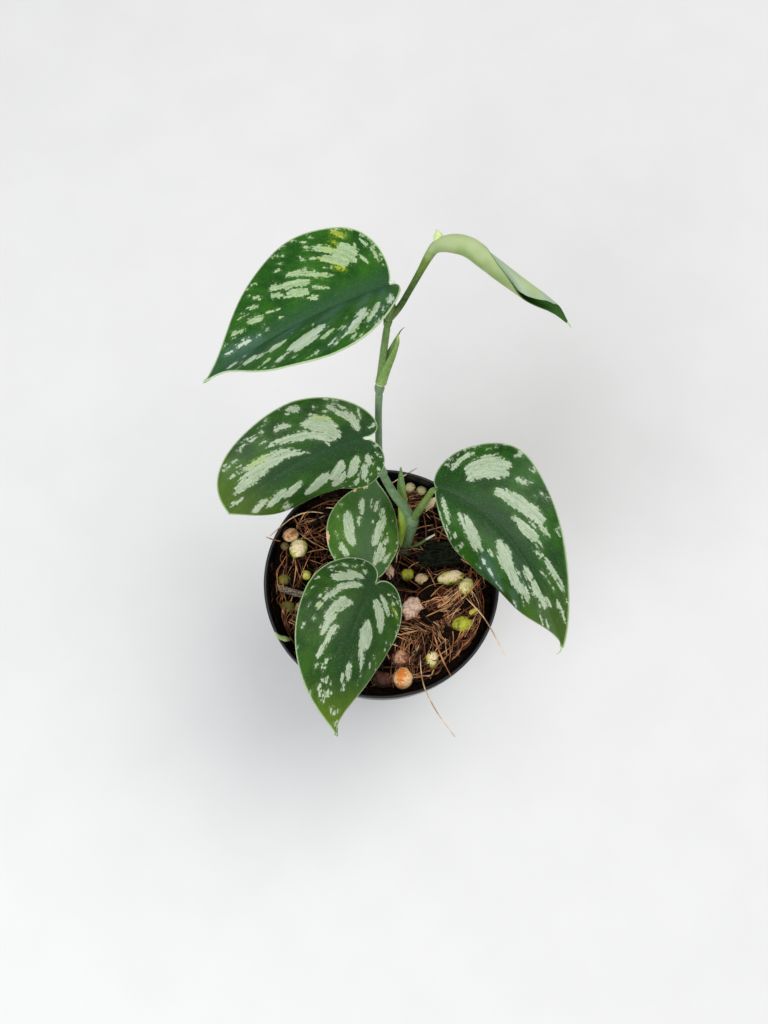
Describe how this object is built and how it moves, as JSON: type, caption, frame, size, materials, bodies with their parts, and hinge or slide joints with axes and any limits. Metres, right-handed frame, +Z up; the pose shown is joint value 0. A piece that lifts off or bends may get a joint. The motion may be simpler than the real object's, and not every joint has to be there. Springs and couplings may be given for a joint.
{
  "type": "potted satin pothos plant",
  "caption": "Young satin pothos with silver-blotched heart-shaped leaves and a rolled new leaf, rooted in a coarse bark mix in a small round nursery pot.",
  "frame": {"origin": "centre of the pot's flat foot, on the surface it stands on", "axes": "+Z up along the pot's axis, -Y the front over which the lowest leaf hangs, +X to the right seen from the front"},
  "size_m": [0.101, 0.1265, 0.1495],
  "materials": {
    "pot_plastic": "black moulded plastic, slightly glossy on the lip",
    "potting_mix": "damp bark, coir fibre and small algae-tinted stones",
    "green_stem": "smooth grey-green plant skin, satin",
    "satin_leaf": "satin dark green with silver-green blotches and a thin pale edge",
    "young_leaf": "pale matt underside of a young rolled leaf"
  },
  "bodies": {
    "root": {"pot": "pot_plastic", "soil": "potting_mix", "stem": "green_stem", "shoot_front": "green_stem", "leaf_back": "satin_leaf", "leaf_left": "satin_leaf", "leaf_centre": "satin_leaf", "leaf_front": "satin_leaf", "leaf_right": "satin_leaf", "leaf_rolled": "young_leaf"}
  },
  "joints": []
}
